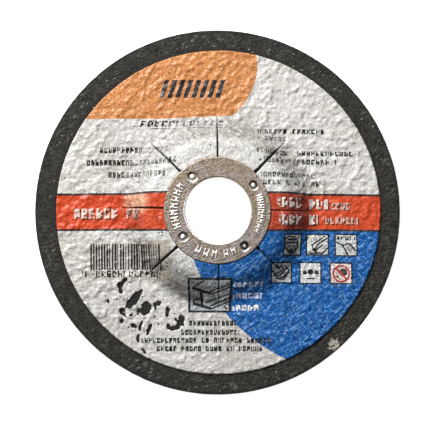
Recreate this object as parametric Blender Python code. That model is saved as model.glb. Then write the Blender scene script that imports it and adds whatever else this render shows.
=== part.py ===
"""Depressed-centre grinding disc, 125 x 6 x 22.23 mm, with its paper label and its steel centre ring.

The disc lies on its working face with the hub up. The origin is the centre of the bore, in the plane of
the working face. Lengths are in metres, angles are in degrees, and +Z is up.
"""
import math

import bmesh
import bpy
from mathutils import Matrix, Vector

MM = 0.001

# The bonded body
DISC_DIAMETER = 125.0 * MM
DISC_THICKNESS = 6.0 * MM  # from the working face to the top of the label
HUB_RISE = 4.6 * MM  # the hub stands this far above the rim, and its recess is as deep
HUB_DIAMETER = 47.8 * MM  # where the flat of the hub would meet the cone if it had no bend
HUB_SLOPE = 29.0  # of the cone, from the level
BEND_RADIUS = 5.0 * MM  # of the two bends on the label side
RECESS_BEND_RADIUS = 2.5 * MM  # of the two bends in the recess
RIM_FILLET = 0.6 * MM

# The paper label
LABEL_THICKNESS = 0.2 * MM
GLUE_LINE = 0.2 * MM
BARE_RIM = 7.0 * MM  # body left bare round the label
LABEL_BORE_MARGIN = 0.4 * MM
SLIT_OVERRUN = 0.8 * MM  # the slits run this far past the foot of the cone
# Each slit's direction on the label and how wide it gapes on the hub
SLITS = (
    (0.0, 0.5 * MM),
    (46.0, 1.0 * MM),
    (90.5, 0.6 * MM),
    (134.4, 0.7 * MM),
    (178.0, 0.45 * MM),
    (222.0, 1.0 * MM),
    (270.7, 0.5 * MM),
    (316.3, 0.6 * MM),
)

# The pressed steel ring
BORE_DIAMETER = 22.23 * MM
FLANGE_DIAMETER = 36.6 * MM
SHEET = 0.5 * MM
ROLLED_EDGE = 1.0 * MM  # outer radius of the bend from flange to sleeve
FLANGE_EDGE_FILLET = 0.2 * MM
SLEEVE_CLEARANCE = 0.3 * MM
FLANGE_SEAT = 0.2 * MM  # between the label and the flange
SLEEVE_END_SETBACK = 0.2 * MM  # the sleeve ends this far above the recess

# The dimples staked through the flange
STAKE_COUNT = 4
FIRST_STAKE_ANGLE = 36.6
STAKE_INSET = 3.85 * MM  # from the bore to the middle of a stake
STAKE_MOUTH_DIAMETER = 3.0 * MM
STAKE_TIP_DIAMETER = 1.2 * MM
STAKE_DEPTH = 0.7 * MM
STAKE_WALL = 0.2 * MM
STAKE_CLEARANCE = 0.3 * MM  # round each stake where it passes through the paper

# Facets
DISC_SIDES = 96
RING_SIDES = 64
STAKE_SIDES = 16
CHORD_TOLERANCE = 0.02 * MM  # how far a facet may cut inside its fillet
SHARP_EDGE = 35.0

# Worked out from the dimensions above
DISC_RADIUS = DISC_DIAMETER / 2
BORE_RADIUS = BORE_DIAMETER / 2
BODY_BORE_RADIUS = BORE_RADIUS + SHEET + SLEEVE_CLEARANCE
BODY_THICKNESS = DISC_THICKNESS - LABEL_THICKNESS - GLUE_LINE
HUB_RADIUS = HUB_DIAMETER / 2
FOOT_RADIUS = HUB_RADIUS + HUB_RISE / math.tan(math.radians(HUB_SLOPE))
LABEL_RADIUS = DISC_RADIUS - BARE_RIM
LABEL_BORE_RADIUS = BODY_BORE_RADIUS + LABEL_BORE_MARGIN
FLANGE_BOTTOM = DISC_THICKNESS + HUB_RISE + FLANGE_SEAT
FLANGE_TOP = FLANGE_BOTTOM + SHEET
STAKE_REACH = BORE_RADIUS + STAKE_INSET
STAKE_TIP = FLANGE_TOP - STAKE_DEPTH
TALLER_THAN_ALL = 2 * FLANGE_TOP  # how far a cutter for the label reaches

# Where the paper is torn away, in millimetres on the label
TEARS = {
    "crescent": (
        (-31.3, -22.8), (-32.8, -23.6), (-34.3, -24.4), (-34.5, -25.8), (-33.8, -27.9),
        (-32.9, -27.5), (-33.2, -26.2), (-32.6, -24.8), (-31.1, -23.8),
    ),
    "spindle": (
        (-26.0, -27.0), (-27.8, -27.8), (-30.9, -30.8), (-31.8, -32.8), (-30.5, -33.3),
        (-29.2, -31.9), (-26.9, -29.6),
    ),
    "below_spindle": ((-33.7, -33.6), (-32.4, -33.0), (-31.7, -34.6), (-32.3, -35.6), (-33.6, -34.8)),
    "bean": ((-33.9, -37.5), (-32.9, -36.8), (-32.2, -37.0), (-32.3, -37.8), (-33.4, -38.0)),
    "hexagon": (
        (-24.9, -30.9), (-26.2, -31.7), (-26.4, -33.2), (-27.6, -33.2), (-27.7, -35.4),
        (-26.7, -34.7), (-25.4, -35.6), (-23.5, -34.8), (-23.1, -31.9),
    ),
    "fork": ((-21.9, -31.2), (-20.4, -30.6), (-19.8, -31.4), (-21.0, -32.3), (-21.5, -33.8)),
    "lower_fork": ((-17.6, -32.5), (-16.6, -33.2), (-16.9, -34.6), (-17.5, -35.9), (-18.1, -35.0)),
    "boot": (
        (-12.9, -35.7), (-11.5, -36.4), (-11.6, -37.8), (-13.2, -38.6), (-13.4, -39.8),
        (-15.6, -40.5), (-17.2, -39.9), (-17.6, -38.4), (-16.8, -38.3), (-16.2, -39.3), (-14.1, -38.4),
    ),
    "sliver": ((-29.9, -38.4), (-28.5, -38.3), (-27.9, -39.2), (-28.6, -39.7), (-29.9, -39.3)),
    "streak": ((-22.9, -38.4), (-23.7, -38.8), (-24.6, -42.1), (-23.8, -41.0), (-22.9, -39.6)),
}


def clear_scene():
    for obj in list(bpy.data.objects):
        bpy.data.objects.remove(obj, do_unlink=True)


def rounded_outline(corners):
    """Closed outline through (radius, height, fillet) corners, each with a tangent arc of its fillet."""
    outline = []
    for index, (radius, height, fillet) in enumerate(corners):
        corner = Vector((radius, height))
        if not fillet:
            outline.append(corner)
            continue
        before = (Vector(corners[index - 1][:2]) - corner).normalized()
        after = (Vector(corners[(index + 1) % len(corners)][:2]) - corner).normalized()
        half_opening = before.angle(after) / 2
        bend = math.pi - 2 * half_opening
        centre = corner + (before + after).normalized() * fillet / math.sin(half_opening)
        first = corner + before * fillet / math.tan(half_opening) - centre
        turn = math.copysign(bend, before.x * after.y - before.y * after.x)
        widest_step = 2 * math.acos(1 - CHORD_TOLERANCE / fillet)
        steps = max(2, math.ceil(bend / widest_step))
        for step in range(steps + 1):
            outline.append(centre + Matrix.Rotation(-turn * step / steps, 2) @ first)
    return outline


def turned_body(name, corners, sides):
    """A ring-shaped solid: the outline through the corners, spun once round the Z axis."""
    mesh = bmesh.new()
    outline = [mesh.verts.new((point.x, 0.0, point.y)) for point in rounded_outline(corners)]
    edges = [mesh.edges.new((outline[index - 1], outline[index])) for index in range(len(outline))]
    bmesh.ops.spin(
        mesh,
        geom=outline + edges,
        cent=(0.0, 0.0, 0.0),
        axis=(0.0, 0.0, 1.0),
        angle=2 * math.pi,
        steps=sides,
        use_merge=True,
    )
    bmesh.ops.recalc_face_normals(mesh, faces=mesh.faces)
    return finished_object(name, mesh)


def finished_object(name, mesh):
    data = bpy.data.meshes.new(name)
    mesh.to_mesh(data)
    mesh.free()
    data.shade_smooth()
    data.set_sharp_from_angle(angle=math.radians(SHARP_EDGE))
    obj = bpy.data.objects.new(name, data)
    bpy.context.scene.collection.objects.link(obj)
    return obj


def add_prism(mesh, outline, bottom, top):
    """Adds an upright prism on a flat outline of (x, y) points."""
    floor = mesh.faces.new([mesh.verts.new((x, y, bottom)) for x, y in outline])
    lid = bmesh.ops.extrude_face_region(mesh, geom=[floor])
    lid_points = [item for item in lid["geom"] if isinstance(item, bmesh.types.BMVert)]
    bmesh.ops.translate(mesh, verts=lid_points, vec=(0.0, 0.0, top - bottom))


def boolean(obj, operation, tool):
    """Applies a hidden tool body to an object as a live modifier."""
    tool.hide_render = True
    tool.display_type = "WIRE"
    modifier = obj.modifiers.new(tool.name, "BOOLEAN")
    modifier.operation = operation
    modifier.object = tool
    modifier.solver = "EXACT"


def linear(hex_colour):
    """The linear red, green, blue and alpha of an sRGB hex colour."""
    shares = [int(hex_colour[index:index + 2], 16) / 255 for index in (0, 2, 4)]
    return [share / 12.92 if share <= 0.04045 else ((share + 0.055) / 1.055) ** 2.4 for share in shares] + [1.0]


def give_material(obj, name, hex_colour, roughness, metallic=0.0):
    material = bpy.data.materials.new(name)
    material.use_nodes = True
    shader = material.node_tree.nodes["Principled BSDF"]
    shader.inputs["Base Color"].default_value = linear(hex_colour)
    shader.inputs["Roughness"].default_value = roughness
    shader.inputs["Metallic"].default_value = metallic
    obj.data.materials.append(material)


def label_side(inner_radius, outer_radius, height):
    """Corners of the label side: the hub's flat, the cone and the flat rim, at a height over the rim."""
    return [
        (inner_radius, height + HUB_RISE, 0.0),
        (HUB_RADIUS, height + HUB_RISE, BEND_RADIUS),
        (FOOT_RADIUS, height, BEND_RADIUS),
        (outer_radius, height, 0.0),
    ]


def make_abrasive_body():
    """The bonded abrasive: a plate whose centre is pressed up, so that the recess follows the hub."""
    corners = label_side(BODY_BORE_RADIUS, DISC_RADIUS, BODY_THICKNESS)
    corners[-1] = (DISC_RADIUS, BODY_THICKNESS, RIM_FILLET)
    corners += [
        (DISC_RADIUS, 0.0, RIM_FILLET),
        (FOOT_RADIUS, 0.0, RECESS_BEND_RADIUS),
        (HUB_RADIUS, HUB_RISE, RECESS_BEND_RADIUS),
        (BODY_BORE_RADIUS, HUB_RISE, 0.0),
    ]
    body = turned_body("abrasive_body", corners, DISC_SIDES)
    give_material(body, "resin_bonded_grit", "42403d", 0.9)
    return body


def stake_radius(height):
    """Radius of a dimple's cone at a height."""
    widening = (STAKE_MOUTH_DIAMETER - STAKE_TIP_DIAMETER) / 2 / STAKE_DEPTH
    return STAKE_TIP_DIAMETER / 2 + (height - STAKE_TIP) * widening


def make_stakes(name, bottom, top, bottom_radius, top_radius):
    """One cone for each dimple, on the stake circle."""
    mesh = bmesh.new()
    for index in range(STAKE_COUNT):
        angle = math.radians(FIRST_STAKE_ANGLE + index * 360 / STAKE_COUNT)
        middle = Vector((STAKE_REACH * math.cos(angle), STAKE_REACH * math.sin(angle), (bottom + top) / 2))
        bmesh.ops.create_cone(
            mesh,
            cap_ends=True,
            segments=STAKE_SIDES,
            radius1=bottom_radius,
            radius2=top_radius,
            depth=top - bottom,
            matrix=Matrix.Translation(middle),
        )
    return finished_object(name, mesh)


def make_centre_ring():
    """The steel ring: a flange on the label and a sleeve down the bore, pressed from one sheet."""
    sleeve_end = HUB_RISE + SLEEVE_END_SETBACK
    ring = turned_body(
        "centre_ring",
        [
            (BORE_RADIUS, sleeve_end, 0.0),
            (BORE_RADIUS, FLANGE_TOP, ROLLED_EDGE),
            (FLANGE_DIAMETER / 2, FLANGE_TOP, FLANGE_EDGE_FILLET),
            (FLANGE_DIAMETER / 2, FLANGE_BOTTOM, 0.0),
            (BORE_RADIUS + SHEET, FLANGE_BOTTOM, ROLLED_EDGE - SHEET),
            (BORE_RADIUS + SHEET, sleeve_end, 0.0),
        ],
        RING_SIDES,
    )
    boss_bottom = STAKE_TIP - STAKE_WALL
    boss_top = FLANGE_BOTTOM + SHEET / 2
    bosses = make_stakes(
        "stake_bosses",
        boss_bottom,
        boss_top,
        stake_radius(boss_bottom) + 2 * STAKE_WALL,
        stake_radius(boss_top) + STAKE_WALL,
    )
    punch_top = FLANGE_TOP + SHEET
    punches = make_stakes(
        "stake_punches", STAKE_TIP, punch_top, stake_radius(STAKE_TIP), stake_radius(punch_top)
    )
    boolean(ring, "UNION", bosses)
    boolean(ring, "DIFFERENCE", punches)
    give_material(ring, "tinned_steel", "a59a8c", 0.4, metallic=1.0)
    return ring


def slit_outline(angle, gape):
    """One slit, opened by the rise of the hub: even across its flat, then narrowing down the cone."""
    along = Vector((math.cos(math.radians(angle)), math.sin(math.radians(angle))))
    aside = Vector((-along.y, along.x)) * gape / 2
    start = along * LABEL_BORE_RADIUS / 2
    shoulder = along * HUB_RADIUS
    tip = along * (FOOT_RADIUS + SLIT_OVERRUN)
    return [start - aside, shoulder - aside, tip, shoulder + aside, start + aside]


def make_paper_label():
    """The printed paper, glued over hub and cone, with its slits, its tears and the holes of the stakes."""
    underside = label_side(LABEL_BORE_RADIUS, LABEL_RADIUS, BODY_THICKNESS + GLUE_LINE)
    face = label_side(LABEL_BORE_RADIUS, LABEL_RADIUS, DISC_THICKNESS)
    label = turned_body("paper_label", underside + face[::-1], DISC_SIDES)
    cuts = bmesh.new()
    for angle, gape in SLITS:
        add_prism(cuts, slit_outline(angle, gape), 0.0, TALLER_THAN_ALL)
    for outline in TEARS.values():
        add_prism(cuts, [(x * MM, y * MM) for x, y in outline], 0.0, TALLER_THAN_ALL)
    bmesh.ops.recalc_face_normals(cuts, faces=cuts.faces)
    hole_radius = stake_radius(FLANGE_BOTTOM) + STAKE_WALL + STAKE_CLEARANCE
    holes = make_stakes("stake_holes", 0.0, TALLER_THAN_ALL, hole_radius, hole_radius)
    boolean(label, "DIFFERENCE", finished_object("slits_and_tears", cuts))
    boolean(label, "DIFFERENCE", holes)
    give_material(label, "printed_paper", "cdcbc6", 0.6)
    return label


clear_scene()
make_abrasive_body()
make_paper_label()
make_centre_ring()
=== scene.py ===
"""The looks of a depressed-centre grinding disc: bonded grit, printed paper label and pressed steel ring.

Lengths are in millimetres until a mesh is written. The disc lies on its working face with the hub up, and +Y
is the top of the label.
"""
import math

import bpy
import numpy as np
from mathutils import Matrix, Vector


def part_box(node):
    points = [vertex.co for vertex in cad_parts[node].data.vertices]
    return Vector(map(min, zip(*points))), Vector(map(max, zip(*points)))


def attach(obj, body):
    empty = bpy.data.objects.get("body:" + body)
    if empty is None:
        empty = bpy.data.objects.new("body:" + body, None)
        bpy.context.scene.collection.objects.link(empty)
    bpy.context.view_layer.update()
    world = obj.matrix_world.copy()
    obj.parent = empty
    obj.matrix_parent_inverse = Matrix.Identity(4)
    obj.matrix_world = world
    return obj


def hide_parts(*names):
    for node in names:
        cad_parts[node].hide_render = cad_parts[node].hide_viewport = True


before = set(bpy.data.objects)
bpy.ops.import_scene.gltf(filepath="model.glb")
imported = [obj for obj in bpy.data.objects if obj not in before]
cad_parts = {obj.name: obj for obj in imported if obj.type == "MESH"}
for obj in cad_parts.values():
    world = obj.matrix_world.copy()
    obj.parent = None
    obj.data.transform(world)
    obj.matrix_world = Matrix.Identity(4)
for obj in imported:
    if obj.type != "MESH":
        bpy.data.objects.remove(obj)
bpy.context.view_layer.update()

MM = 0.001

# Sizes read from the CAD model
BODY_HIGH = np.array(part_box("abrasive_body")[1]) / MM
LABEL_HIGH = np.array(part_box("paper_label")[1]) / MM
RING_LOW, RING_HIGH = (np.array(corner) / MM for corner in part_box("centre_ring"))
DISC_RADIUS = BODY_HIGH[0]
LABEL_RADIUS = LABEL_HIGH[0]
FLANGE_RADIUS = RING_HIGH[0]
FLANGE_TOP = RING_HIGH[2]
SLEEVE_END = RING_LOW[2]

# Sizes of the pressed shape, as in the CAD model
HUB_RISE = 4.6
HUB_RADIUS = 23.9  # where the flat of the hub would meet the cone if it had no bend
HUB_SLOPE = math.radians(29.0)
FOOT_RADIUS = HUB_RADIUS + HUB_RISE / math.tan(HUB_SLOPE)
BEND_RADIUS = 5.0
RECESS_BEND_RADIUS = 2.5
RIM_TOP = BODY_HIGH[2] - HUB_RISE
LABEL_FACE = LABEL_HIGH[2] - HUB_RISE
PAPER = 0.2
SHEET = 0.5  # the ring's steel
BORE_RADIUS = 11.115
BODY_BORE_RADIUS = 11.915
LABEL_BORE_RADIUS = 12.315
FLANGE_BOTTOM = FLANGE_TOP - SHEET

# Each slit's direction in degrees, how wide it gapes on the hub, and how much wider it is at the ring
SLITS = (
    (0.0, 0.3, 0.0), (46.0, 0.95, 0.2), (90.5, 0.6, 0.0), (134.4, 0.65, 0.3), (178.0, 0.6, 0.0),
    (222.0, 0.9, 0.1), (270.7, 0.45, 0.0), (316.3, 0.45, 0.75),
)
SLIT_TIP = FOOT_RADIUS + 0.8  # the radius at which the slits end
FLARE_REACH = 1.4  # of the wider part at the ring

# The dimples staked through the flange: each one's place, the share of painted shade in its ring, and how
# dirty its floor is, as shares
STAKES = (
    (12.2, 8.6, 0.95, 0.0), (-8.6, 11.45, 0.45, 0.12), (-11.85, -9.05, 0.85, 0.1), (9.15, -12.2, 1.0, 0.95),
)
# Their radii and depths
STAKE_MOUTH = 1.75
STAKE_FLOOR = 1.2
STAKE_NUB = 0.45
STAKE_DARK_RING = 1.12
STAKE_BRIGHT_RING = 1.62
STAKE_DEPTH = 0.58
STAKE_DEPTH_BELOW = 0.38  # on the flange's underside
STAKE_HOLE = 1.85  # in the paper

# The flange's raised strokes: the span of each group in degrees, the pitch, and half the gap of a pair
STROKES = (
    (142.6, 206.0, 9.05, 0.6), (329.5, 381.8, 6.54, 0.48), (238.6, 271.0, 10.8, 0.62),
    (276.0, 296.0, 10.0, 0.62),
)
STROKE_HEIGHT = 0.12
STROKE_MIDDLE = 15.0  # their distance from the disc's axis

# How far the label and the flange are off the disc's axis, as they were glued and pressed
LABEL_SHIFT = (0.25, -0.18)
FLANGE_SHIFT = (-0.3, -0.1)

# Where the rim is knocked pale
RIM_KNOCK = (39.6, -45.6)

# Where the paper is torn away
TEARS = (
    ((-31.3, -22.8), (-30.9, -23.5), (-31.3, -23.9), (-32.0, -24.5), (-32.4, -25.1), (-32.5, -25.7),
     (-32.9, -26.3), (-32.6, -27.1), (-32.6, -27.9), (-33.2, -28.2), (-33.6, -28.0), (-33.9, -27.5),
     (-33.6, -26.6), (-34.2, -26.2), (-34.4, -25.5), (-34.2, -24.8), (-33.9, -24.2), (-33.3, -24.5),
     (-32.7, -23.9), (-32.2, -23.4), (-31.9, -23.0)),
    ((-26.0, -26.9), (-25.6, -27.1), (-26.1, -28.1), (-26.5, -28.7), (-26.6, -29.5), (-27.3, -30.6),
     (-28.0, -31.9), (-29.0, -32.1), (-29.6, -33.1), (-30.2, -33.5), (-30.7, -33.2), (-31.3, -32.9),
     (-31.9, -33.3), (-31.4, -32.3), (-31.1, -31.2), (-30.3, -30.2), (-29.3, -29.1), (-28.3, -27.9),
     (-27.3, -27.6), (-26.5, -27.1)),
    ((-32.4, -33.0), (-31.9, -33.4), (-32.0, -34.0), (-31.8, -34.7), (-31.9, -35.2), (-31.2, -36.2),
     (-32.2, -35.6), (-33.6, -34.8), (-33.6, -33.6), (-33.0, -33.4)),
    ((-32.9, -36.8), (-32.2, -37.1), (-32.4, -37.9), (-33.1, -38.2), (-33.9, -37.6)),
    ((-24.4, -30.9), (-23.6, -31.4), (-22.8, -32.1), (-22.9, -33.3), (-23.4, -34.6), (-24.4, -35.2),
     (-25.2, -35.7), (-26.1, -35.0), (-26.5, -34.5), (-27.1, -34.7), (-27.1, -35.5), (-27.6, -35.2),
     (-27.4, -34.0), (-27.3, -33.2), (-26.8, -33.5), (-26.2, -33.5), (-25.9, -32.1), (-25.2, -31.4)),
    ((-20.3, -30.6), (-19.8, -31.0), (-19.1, -30.8), (-19.4, -31.4), (-19.9, -32.5), (-20.4, -32.3),
     (-20.9, -32.3), (-20.9, -33.3), (-21.4, -34.1), (-21.6, -33.1), (-21.9, -32.1), (-21.9, -31.4),
     (-21.1, -31.3), (-20.6, -31.5)),
    ((-17.2, -32.5), (-16.9, -33.0), (-16.3, -33.4), (-16.6, -34.2), (-16.9, -35.2), (-16.9, -36.0),
     (-17.2, -36.2), (-17.9, -35.8), (-18.0, -35.2), (-17.6, -34.6), (-17.6, -33.6)),
    ((-12.7, -35.5), (-11.6, -36.1), (-11.2, -37.1), (-12.0, -37.6), (-11.6, -38.8), (-12.2, -39.1),
     (-12.9, -38.8), (-13.1, -40.1), (-14.1, -40.4), (-15.6, -40.9), (-16.4, -40.4), (-17.1, -40.2),
     (-17.4, -39.2), (-17.1, -38.3), (-16.6, -38.7), (-16.3, -39.5), (-15.5, -39.7), (-15.3, -39.0),
     (-14.9, -39.5), (-14.1, -39.2), (-13.8, -38.0), (-14.8, -36.8), (-14.5, -36.6), (-13.6, -37.5),
     (-13.2, -36.3)),
    ((-29.8, -38.4), (-28.6, -38.4), (-28.1, -39.1), (-27.7, -39.5), (-28.1, -39.9), (-28.8, -39.6),
     (-29.9, -39.3)),
    ((-25.7, -37.5), (-26.1, -38.7), (-26.4, -40.0), (-26.4, -41.0), (-26.9, -40.7), (-27.2, -39.8),
     (-26.8, -39.0), (-26.2, -37.8)),
    ((-22.9, -38.3), (-22.6, -39.0), (-22.8, -40.0), (-23.4, -41.1), (-24.1, -42.1), (-24.5, -42.4),
     (-24.4, -41.5), (-24.6, -40.6), (-23.9, -39.8), (-23.2, -38.8)),
    ((-27.4, -42.1), (-26.9, -42.4), (-27.1, -43.4), (-27.1, -44.9), (-27.6, -44.4), (-28.1, -43.4),
     (-27.8, -42.7)),
    ((-25.9, -46.5), (-25.2, -47.5), (-24.6, -48.6), (-25.2, -48.5), (-26.1, -47.5)),
    ((-37.4, -29.6), (-37.4, -30.6), (-37.1, -31.3), (-37.8, -31.4), (-38.1, -30.6), (-37.8, -30.3)),
    ((-29.3, -34.9), (-29.1, -35.5), (-29.9, -36.0), (-30.2, -35.8), (-29.8, -35.1)),
)

# Soft folds pressed into the paper: their ends, height and half width
FOLDS = (
    ((1.5, 31.4), (17.5, 21.4), 1.0, 1.5),
    ((-16.6, -23.4), (-9.0, -27.6), 1.0, 2.2),
)

# The print is given in places on the flat paper: a box is (left, right, bottom, top), and a circle is
# (x, y, radius)
ORANGE_CIRCLE = (-9.06, 50.44, 22.37)
ORANGE_EDGE = (-20.0, 4.5, 31.8, 33.0)  # the lower edge, from x to x and from y to y
ORANGE_BAR = (-19.2, 1.6, 39.1, 45.3)
ORANGE_LEAN = (0.3, 42.2)  # the slope of the bar's strokes, and the level that they lean about
STROKE_PITCH = 2.75
BLUE_CIRCLE = (47.3, 2.57, 58.2)
BLUE_TOP = -6.2
STRIPE_MIDDLE = -0.3
STRIPE_HALF = 5.75  # half its width
STRIPE_LINE = 0.7  # the width of the dark line on each side
STRIPE_GLARE = (-27.4, 3.3)  # where a painted glare lightens it
BEIGE_PATCH = (-45.5, -15.2, -24.0, -9.8)
BARS_BOX = (-43.9, -18.9, -20.1, -11.2)
BAR_PITCH = 0.93
UNDERLINE = (-23.0, 1.6, 28.2, 28.5)
BLOCK_SHADE = 0.42  # how far the blocks' shade lies to the right and below

# Rows of small blocks. The function block_rows says what the numbers are
LARGE_ROWS = (((-49.3, -26.0, -0.8), (19.2, 37.7, 2.5), (19.7, 34.2, -2.7)), 3.4, 2.6, 5, 0.14, 0.5)
SMALL_ROWS = (((38.9, 45.2, 1.9), (35.9, 47.8, -3.0)), 2.4, 1.75, 4, 0.08, 0.5)
BLACK_ROWS = (
    (((-46.6, -45.0, -21.5), (-42.9, -31.6, -21.5), (-30.6, -19.0, -21.5)), 2.2, 1.9, 5, 0.0, 0.42),
    (((-40.6, -16.9, 20.9), (-45.2, -13.5, 16.6), (-40.9, -17.2, 12.4)), 2.0, 1.5, 3, 0.06, 0.8),
    (((-12.0, 6.2, -38.3), (-14.2, 7.2, -41.4), (-26.2, 18.4, -44.1), (-21.6, 14.9, -46.9)),
     1.8, 1.4, 3, 0.1, 0.72),
    (((13.4, 36.3, 27.5), (13.6, 23.6, 24.9), (12.9, 48.3, 19.9), (15.1, 40.4, 17.0), (13.4, 33.2, 12.0),
      (14.1, 34.5, 9.3)), 1.7, 1.6, 3, 0.1, 0.62),
)
SLANTED_ROW = (((-26.9, 2.4, 30.1),), 2.1, 2.4, 4, 0.0, 0.32)
ROW_LEAN = (0.25, 30.0)  # its slope, and the level that it leans about
WHITE_ROWS = (((4.8, 15.1, -24.6), (5.0, 15.2, -28.8), (5.0, 14.4, -33.0)), 1.9, 2.05, 3, 0.02, 0.66)
PICTURE_ROW = (((40.8, 46.9, -9.1),), 1.3, 1.5, 3, 0.0, 0.45)

# The six small pictures: each one's box and the colour in it, and the width of the frames
PICTURES = (
    ((22.0, 28.0, -14.7, -8.0), "b6b9b8"), ((30.6, 37.6, -14.6, -8.1), "d9dad6"),
    ((40.4, 47.2, -14.8, -8.0), "d5d6d5"), ((18.3, 24.9, -24.2, -17.7), "b4b7ba"),
    ((28.3, 35.0, -24.4, -17.8), "e2e2e2"), ((38.6, 45.4, -24.3, -17.8), "edd9d5"),
)
FRAME = 0.5
# The shapes in them: two grey discs, dark discs and a bar, and a red ring with its discs and its bar
PICTURE_GREYS = (((45.0, -12.6, 1.1), "9b9b9d"), ((24.5, -11.2, 2.3), "8c8e8f"))
PICTURE_DISCS = (
    (23.7, -11.8, 0.4), (25.5, -11.8, 0.4), (24.6, -13.3, 0.6), (33.2, -12.9, 0.55), (29.8, -20.9, 0.75),
    (31.7, -20.7, 1.0), (33.7, -20.9, 0.75),
)
PICTURE_BAR = (30.4, 33.2, -23.2, -22.7)
RED_RING = (((42.1, -21.2, 3.0), "b24a44"), ((42.1, -21.2, 2.35), "edd9d5"))
RING_DISCS = ((42.8, -20.7, 1.35), (40.8, -22.2, 0.45), (41.6, -23.0, 0.32))
RING_BAR = (((40.3, -19.4), (43.9, -23.0)),)

# The picture of a rolled steel section: its frame, the box in it, and its lines
BEAM_FRAME = (-10.1, 4.5, -34.7, -22.1)
BEAM_PICTURE = (-9.35, 3.7, -33.95, -22.85)
BEAM_THIN = (
    ((-4.3, -23.1), (-8.3, -25.6), (-8.4, -26.2)),
    ((-2.5, -27.3), (3.4, -24.3)),
    ((-2.3, -28.2), (3.5, -25.5)),
    ((-5.8, -29.7), (-8.2, -30.4), (-8.3, -32.0)),
    ((-4.0, -31.3), (3.6, -28.0)),
    ((-2.5, -32.4), (3.7, -29.5)),
    ((-2.5, -33.5), (3.6, -31.0)),
    ((2.2, -32.5), (2.9, -33.3)),
)
BEAM_THICK = (
    ((-8.2, -25.9), (-2.5, -27.8)),
    ((-5.5, -27.2), (-5.4, -31.8)),
    ((-8.0, -31.7), (-2.6, -33.2)),
)
# The lines of the small pictures
PICTURE_LINES = (
    ((22.1, -12.1), (21.8, -9.8), (22.7, -8.7), (24.2, -8.4), (25.8, -8.8), (26.9, -9.9), (27.0, -12.2),
     (26.0, -13.9), (24.7, -14.6), (23.4, -13.8), (22.1, -12.1)),
    ((22.2, -10.6), (26.9, -10.6)),
    ((23.2, -9.5), (25.8, -9.5)),
    ((22.9, -12.6), (24.1, -13.9), (25.1, -13.9), (26.2, -12.6)),
    ((36.6, -8.5), (32.3, -11.4), (32.6, -13.2), (34.3, -14.2)),
    ((37.4, -9.1), (34.4, -11.1), (33.2, -13.1)),
    ((35.8, -11.4), (33.4, -13.4)),
    ((31.5, -14.3), (36.0, -14.2), (37.4, -12.6)),
    ((40.7, -10.5), (42.6, -11.5), (43.4, -12.9), (44.3, -14.7)),
    ((42.6, -11.5), (44.3, -10.9), (45.4, -11.2), (46.9, -13.3)),
    ((20.4, -19.3), (21.4, -18.6), (22.6, -20.4)),
    ((22.9, -18.8), (24.3, -20.1), (22.4, -23.4), (20.2, -22.8)),
    ((18.5, -20.1), (20.2, -22.1)),
    ((19.0, -21.7), (22.0, -19.8)),
    ((20.9, -21.9), (23.3, -19.3)),
    ((21.4, -23.2), (24.2, -20.9)),
    ((19.3, -18.2), (20.4, -19.3)),
)

# Pinholes in the paper
PINHOLES = (
    (-25.8, -29.2, 0.3), (-30.6, -39.6, 0.35), (-20.4, -38.6, 0.35), (-21.6, -36.0, 0.35),
    (-25.3, -41.1, 0.25), (-34.7, -30.0, 0.25), (-32.2, -30.4, 0.25), (-14.8, -35.0, 0.3),
    (-20.8, -34.4, 0.25), (-55.4, 20.6, 0.35), (-52.6, 11.5, 0.3), (-56.2, 7.5, 0.3), (-19.0, 33.4, 0.3),
    (10.6, 55.2, 0.3), (22.0, 20.2, 0.5), (14.0, 16.4, 0.4), (-2.2, 21.5, 0.3), (6.9, 24.8, 0.3),
    (-18.1, -7.2, 0.32), (-19.3, -7.4, 0.28), (-18.1, -8.3, 0.25), (-17.1, -17.2, 0.3), (-17.0, -18.4, 0.25),
    (-13.8, -16.6, 0.3), (-13.8, -19.8, 0.28), (-19.8, -2.2, 0.35), (-20.1, -3.3, 0.3),
)

# Darker patches on the label: the middle, the reach, the radius of the darkest part, and its tone
# The first is painted shade on the cone's lower slope beside the framed picture, the last is painted shade
# on the cone's upper slope, and the other two only darken the label softly
DARKER_PATCHES = (
    ((-11.6, -25.8), 8.5, 2.0, 0.62), ((-40.0, -33.0), 17.0, 5.0, 0.88), ((-32.0, 26.0), 14.0, 4.0, 0.92),
    ((-12.0, 25.5), 7.0, 2.0, 0.92),
)

# Grit 24 has grains of about 0.7 mm
GRAINS_PER_MILLIMETRE = 1.5

# Paper and inks, as sRGB hex
PAPER_WHITE = "d9d6d1"
PAPER_AGED = "c3bfb4"
ORANGE_INK = "d08b54"
RED_INK = "d44d27"
# Painted shade of the red, where the stripe runs down the cone right of the ring
RED_PAINTED_SHADE = "7a3834"
BLUE_INK = "045ba8"
BLUE_INK_DEEP = "06458c"
BLUE_INK_RUBBED = "7ab2de"
BLACK_INK = "2b2a2c"
PALE_INK = "f4f6fa"
BEIGE_INK = "c4bbaa"


def linear(hex_colour):
    """The linear red, green, blue and alpha of an sRGB hex colour."""
    shares = np.array([int(hex_colour[index:index + 2], 16) for index in (0, 2, 4)]) / 255
    curved = np.where(shares <= 0.04045, shares / 12.92, ((shares + 0.055) / 1.055) ** 2.4)
    return [*curved.tolist(), 1.0]


def lattice_noise(points, cells, seed):
    """Smooth noise of about -1 to 1: random values on a lattice, blended between its eight nearest corners.

    A point divided by the cell's size falls in a cell, and each axis blends by 3t^2 - 2t^3 of its share t.
    """
    size = 64
    values = np.random.default_rng(seed).uniform(-1.0, 1.0, (size, size, size))
    scaled = points / np.array(cells)
    corner = np.floor(scaled).astype(int)
    share = scaled - corner
    share = share * share * (3 - 2 * share)
    total = np.zeros(len(points))
    for step in np.ndindex(2, 2, 2):
        weight = np.prod(np.where(step, share, 1 - share), axis=1)
        x, y, z = ((corner + step) % size).T
        total += weight * values[x, y, z]
    return total


def smooth_step(value, start, end):
    """0 before start, 1 after end, and 3t^2 - 2t^3 between."""
    share = np.clip((value - start) / (end - start), 0, 1)
    return share * share * (3 - 2 * share)


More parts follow.
